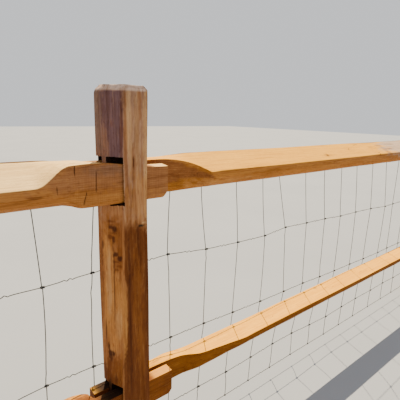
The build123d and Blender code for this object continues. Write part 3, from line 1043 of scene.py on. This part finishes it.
def stay_piece(rng, top, foot):
    """One stay between two lines, wound round both and a little bent."""
    (top_x, top_z), (foot_x, foot_z) = top, foot
    top_x += COIL_SIDE
    foot_x -= COIL_SIDE
    points = coil(top_x, top_z, -TURNS, 0, 1)
    bow = rng.uniform(-BOW, BOW)
    kink = rng.uniform(-KINK, KINK)
    kink_at = rng.choice(KINK_SHARES)
    for share in STAY_SHARES:
        x = top_x + (foot_x - top_x) * share + bow * math.sin(math.pi * share)
        if share == kink_at:
            x += kink
        points.append((x, LINE_DEPTH + 2 * WIRE_RADIUS, top_z + (foot_z - top_z) * share))
    points += coil(foot_x, foot_z, 0, TURNS, -1)
    return tube(points, WIRE_RADIUS)


def line_piece(line, start, end, columns):
    """One line wire, with a crimp between each two stays."""
    crossings = [column[LINES - 1 - line] for column in columns]
    stops = [(start, line_height(line, start))]
    stops += [stop for stop in crossings if start + STAY_MARGIN < stop[0] < end - STAY_MARGIN]
    stops.append((end, line_height(line, end)))
    points = [(start, LINE_DEPTH, stops[0][1])]
    for (near_x, near_z), (far_x, far_z) in zip(stops, stops[1:]):
        length = far_x - near_x
        middle = (near_x + far_x) / 2
        for off in CRIMP_POINTS if length > CRIMP_SPACE else ():
            share = (middle + off - near_x) / length
            crimped = abs(off) < CRIMP_END
            wave = CRIMP_HEIGHT * math.sin(math.pi * off / CRIMP_WAVE) if crimped else 0
            level = near_z + (far_z - near_z) * share + wave
            points.append((middle + off, LINE_DEPTH, level))
        points.append((far_x, LINE_DEPTH, far_z))
    return tube(points, WIRE_RADIUS)


def dress_net(bay, knots, material):
    rng = random.Random(NET_SEED + bay)
    start, end = post_x(bay), post_x(bay + 1)
    first = start - NET_LAP if bay == 0 else start + NET_GAP
    last = end + NET_LAP if bay == BAYS - 1 else end - NET_GAP
    columns = [column for number, column in sorted(knots.items())
               if start <= STAY_OFFSET + number * STAY_SPACING < end]
    tubes = [line_piece(line, first, last, columns) for line in range(LINES)]
    for column in columns:
        for top, foot in zip(column, column[1:]):
            tubes.append(stay_piece(rng, top, foot))
    piece = wires_object("wires_bay_" + str(bay + 1), tubes, material)
    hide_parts("netting_bay_" + str(bay + 1))


def staples(index, material):
    """Two staples over each line wire on a post's back."""
    rng = random.Random(STAPLE_SEED + index)
    crown = LINE_DEPTH + WIRE_RADIUS + STAPLE_RADIUS + STAPLE_GAP
    shape = [(off, crown - below) for off, below in STAPLE_BEND]
    shape = [(shape[0][0], STAPLE_LEG)] + shape + [(shape[-1][0], STAPLE_LEG)]
    tubes = []
    for line in range(LINES):
        for side in STAPLE_PLACES:
            x = post_x(index) + side + rng.uniform(-STAPLE_PLAY, STAPLE_PLAY)
            z = line_height(line, x)
            lean = rng.uniform(-STAPLE_LEAN, STAPLE_LEAN)
            path = [(x + off * lean, depth, z + off) for off, depth in shape]
            tubes.append(tube(path, STAPLE_RADIUS))
    wires_object("staples_post_" + str(index + 1), tubes, material)


# Materials

# The Mix node's sockets for colours
MIX_SHARE, MIX_FIRST, MIX_SECOND, MIX_RESULT = 0, 6, 7, 2
PITH_IN_POST, PITH_BY_RAIL = (0.03, 0.05), (-0.09, 1)
ZINC_DARK, ZINC_LIGHT = (0.2, 0.2, 0.2), (0.45, 0.45, 0.45)
# The net's wire, much darker than the staples' zinc
NET_WIRE_DARK, NET_WIRE_LIGHT = (0.012, 0.013, 0.015), (0.045, 0.047, 0.05)


class Recipe:
    """A new material, with short ways to add nodes that return their outputs."""

    def __init__(self, name):
        self.material = bpy.data.materials.new(name)
        self.material.use_nodes = True
        self.tree = self.material.node_tree
        self.shader = self.tree.nodes["Principled BSDF"]

    def fill(self, made, inputs):
        """Sets a node's inputs, by name or number, to numbers, colours or other outputs."""
        for key, value in inputs.items():
            socket = made.inputs[key]
            if isinstance(value, bpy.types.NodeSocket):
                self.tree.links.new(value, socket)
            else:
                socket.default_value = (*value, 1) if socket.type == "RGBA" else value

    def put(self, kind, output, inputs, **settings):
        made = self.tree.nodes.new("ShaderNode" + kind)
        for key, value in settings.items():
            setattr(made, key, value)
        self.fill(made, inputs)
        return made.outputs[output]

    def attribute(self, name, output):
        return self.put("Attribute", output, {}, attribute_name=name)

    def place(self):
        return self.put("TexCoord", "Object", {})

    def scaled(self, vector, scale, shift=(0, 0, 0)):
        return self.put("Mapping", 0,
                        {"Vector": vector, "Scale": scale, "Location": shift})

    def clouds(self, vector, scale, detail=3, shift=(0, 0, 0), rough=0.55):
        """Noise from 0 to 1, stretched by a different scale on each axis."""
        vector = self.scaled(vector, scale, shift)
        return self.put("TexNoise", 0, {"Vector": vector, "Scale": 1, "Detail": detail,
                                        "Roughness": rough})

    def sums(self, operation, first, second=0, third=0):
        return self.put("Math", 0, {0: first, 1: second, 2: third},
                        operation=operation)

    def times(self, first, second):
        return self.sums("MULTIPLY", first, second)

    def plus(self, rest, value, share):
        """The rest, plus a share of a value."""
        return self.sums("MULTIPLY_ADD", value, share, rest)

    def span(self, value, low, high, out_low=0, out_high=1):
        inputs = {"Value": value, "From Min": low, "From Max": high,
                  "To Min": out_low, "To Max": out_high}
        return self.put("MapRange", 0, inputs, interpolation_type="SMOOTHSTEP")

    def blend(self, share, first, second, kind="MIX"):
        return self.put("Mix", MIX_RESULT,
                        {MIX_SHARE: share, MIX_FIRST: first, MIX_SECOND: second},
                        data_type="RGBA", blend_type=kind)

    def stain(self, colour, where, strength, shade):
        """Multiplies a colour by a shade, where a pattern says so."""
        return self.blend(self.times(where, strength), colour, shade, "MULTIPLY")

    def ramp(self, value, stops):
        output = self.put("ValToRGB", 0, {0: value})
        elements = output.node.color_ramp.elements
        while len(elements) < len(stops):
            elements.new(0.5)
        for element, (place, colour) in zip(elements, stops):
            element.position = place
            element.color = (*colour, 1)
        return output

    def bump(self, strength, distance, height):
        inputs = {"Strength": strength, "Distance": distance, "Height": height}
        return self.put("Bump", 0, inputs)

    def finish(self, colour, roughness, **inputs):
        self.fill(self.shader, {"Base Color": colour, "Roughness": roughness, **inputs})
        return self.material


def growth_rings(mat, grain, pith):
    """Rings round the tree's pith, which wobble along the grain."""
    wobble = mat.clouds(grain, (1.6, 14, 14), 2, (2, 9, 4))
    offset = mat.scaled(grain, (0, 1, 1), (0, -pith[0], -pith[1]))
    far = mat.put("VectorMath", "Value", {0: offset}, operation="LENGTH")
    wave = mat.sums("SINE", mat.plus(mat.times(wobble, 14), far, 1150))
    return mat.span(wave, 0.35, 1)


def drying_checks(mat, grain):
    """Thin cracks that follow the grain, in some places only."""
    contour = mat.clouds(grain, (2.2, 24, 24), 2, (12, 3, 6), 0.5)
    apart = mat.sums("ABSOLUTE", mat.sums("SUBTRACT", contour, 0.5))
    where = mat.span(mat.clouds(grain, (5, 18, 18), 2, (1, 1, 7)), 0.55, 0.66)
    return mat.times(mat.span(apart, 0.008, 0.002), where)


def wood(name, pith, paint_sunlit_tops=False, end_grain=False, inside=False):
    """Cleft chestnut: streaks, growth rings, pores, checks and saw marks over the paint, with
    painted sunlight on upward faces and painted shade inside mortises where asked.
    """
    mat = Recipe(name)
    grain = mat.attribute("grain", "Vector")
    colour = mat.attribute("tint", "Color")
    sawn = mat.attribute("tint", "Alpha")
    top = mat.attribute("top", "Color")
    broad = mat.clouds(grain, (2.6, 46, 46))
    middle = mat.clouds(grain, (6, 150, 150), 3, (3, 7, 1))
    fine = mat.clouds(grain, (16, 520, 520), 3, (9, 2, 5))
    pores = mat.clouds(grain, (70, 1900, 1900), 2, (4, 4, 8))
    flecks = mat.clouds(grain, (42, 300, 300), 2, (3, 3, 3))
    mottles = mat.clouds(grain, (34, 70, 70), 3, (8, 1, 2))
    bars = mat.clouds(grain, (430, 6, 6), 2, (5, 5, 5))

    value = mat.plus(mat.times(middle, 0.55), broad, 0.45)
    rings = growth_rings(mat, grain, pith)
    unsawn = mat.span(sawn, 0, 1, 1, 0.35)
    streak = mat.times(mat.span(fine, 0.44, 0.3), unsawn)
    light = mat.span(fine, 0.58, 0.72)
    pore = mat.span(pores, 0.42, 0.3)
    fleck = mat.times(mat.span(flecks, 0.36, 0.28), unsawn)
    mottle = mat.span(mottles, 0.35, 0.65)
    check = drying_checks(mat, grain)
    bar = mat.times(mat.span(bars, 0.52, 0.4), sawn)
    normal = mat.put("NewGeometry", "Normal", {})
    sunlit_share = mat.span(mat.put("SeparateXYZ", 2, {0: normal}), 0.3, 0.7)

    # Upward faces take the paler top colour: painted sunlight
    if paint_sunlit_tops:
        colour = mat.blend(sunlit_share, colour, top)
    shade = mat.ramp(value, [(0.3, (0.5, 0.4, 0.32)), (0.44, (0.78, 0.74, 0.7)),
                             (0.56, (0.93, 0.93, 0.93)), (0.72, (1, 1, 1))])
    colour = mat.blend(1, colour, shade, "MULTIPLY")
    colour = mat.stain(colour, rings, 0.5 if end_grain else 0.26, (0.52, 0.36, 0.24))
    colour = mat.stain(colour, streak, 0.42, (0.45, 0.28, 0.18))
    colour = mat.blend(mat.times(light, 0.14), colour, (0.9, 0.5, 0.16))
    colour = mat.stain(colour, pore, 0.4, (0.4, 0.24, 0.15))
    colour = mat.stain(colour, fleck, 0.55, (0.42, 0.24, 0.15))
    colour = mat.stain(colour, mottle, 0.22, (0.62, 0.5, 0.42))
    # Upward faces are pulled further to the top colour, with weaker grain: painted sunlit
    # glare
    if paint_sunlit_tops:
        colour = mat.blend(mat.times(sunlit_share, 0.45), colour, top)
    colour = mat.stain(colour, check, 0.7, (0.16, 0.08, 0.04))
    colour = mat.stain(colour, bar, 0.2, (0.55, 0.38, 0.3))
    # Inside a mortise the wood is painted nearly black: painted shade in the slot
    if inside:
        colour = mat.blend(1, colour, (0.1, 0.07, 0.05), "MULTIPLY")

    height = mat.plus(mat.times(middle, 0.6), fine, 0.7)
    for pattern, share in ((pore, -0.35), (rings, 0.16), (check, -1.6), (bar, -0.25)):
        height = mat.plus(height, pattern, share)
    roughness = mat.span(value, 0.3, 0.7, 0.8, 0.64)
    mat.fill(mat.shader, {"Specular IOR Level": 0.1})
    return mat.finish(colour, roughness, Normal=mat.bump(0.55, 0.0009, height))


def galvanised(name, dark, light):
    """Zinc-coated wire, mottled and a little dull."""
    mat = Recipe(name)
    blotch = mat.clouds(mat.place(), (180, 180, 180))
    speck = mat.clouds(mat.place(), (1400, 1400, 1400), 2, (3, 1, 2))
    value = mat.plus(mat.times(speck, 0.35), blotch, 0.65)
    colour = mat.ramp(value, [(0.36, dark), (0.62, light)])
    roughness = mat.span(value, 0.35, 0.65, 0.62, 0.42)
    return mat.finish(colour, roughness, Normal=mat.bump(0.25, 0.0003, value), Metallic=0.45)


def floor_material():
    mat = Recipe("pale_floor")
    soft = mat.clouds(mat.place(), (0.8, 0.8, 0.8), 2)
    colour = mat.ramp(soft, [(0.3, (0.3, 0.31, 0.33)), (0.7, (0.32, 0.33, 0.35))])
    return mat.finish(colour, 0.9)


# Light and floor

def make_light():
    data = bpy.data.lights.new("sun", "SUN")
    data.energy = SUN_POWER
    data.color = SUN_COLOUR
    data.angle = SUN_ANGLE
    sun = add_object("sun", data)
    sun.rotation_euler = Vector(SUN_TOWARD).to_track_quat("Z", "Y").to_euler()
    scene.world = bpy.data.worlds.new("world")
    scene.world.use_nodes = True
    sky = scene.world.node_tree.nodes["Background"]
    sky.inputs["Color"].default_value = (*SKY_COLOUR, 1)
    sky.inputs["Strength"].default_value = SKY_POWER


def make_floor():
    mesh = bpy.data.meshes.new("floor")
    corners = [(x * FLOOR_REACH, y * FLOOR_REACH, 0)
               for x, y in ((-1, -1), (1, -1), (1, 1), (-1, 1))]
    mesh.from_pydata(corners, [], [(0, 1, 2, 3)])
    add_object("floor", mesh, [floor_material()])


# The fence

make_camera()
post_materials = [wood("post_wood", PITH_IN_POST),
                  wood("post_end", PITH_IN_POST, end_grain=True),
                  wood("post_mortise_shade", PITH_IN_POST, inside=True)]
rail_materials = [wood("rail_wood", PITH_BY_RAIL, paint_sunlit_tops=True),
                  wood("rail_end", PITH_BY_RAIL, end_grain=True)]
wire_material = galvanised("galvanised_wire", NET_WIRE_DARK, NET_WIRE_LIGHT)
staple_material = galvanised("galvanised_staple", ZINC_DARK, ZINC_LIGHT)

for index in range(BAYS + 1):
    dress_post(index, post_materials)
    staples(index, staple_material)
for bay in range(BAYS):
    dress_rail(bay, "upper", rail_materials)
    dress_rail(bay, "lower", rail_materials)
knots = make_knots()
for bay in range(BAYS):
    dress_net(bay, knots, wire_material)

for name, obj in nodes.items():
    obj.data.materials.clear()
    obj.data.materials.append(wire_material if name.startswith("net") else rail_materials[0])

make_light()
make_floor()
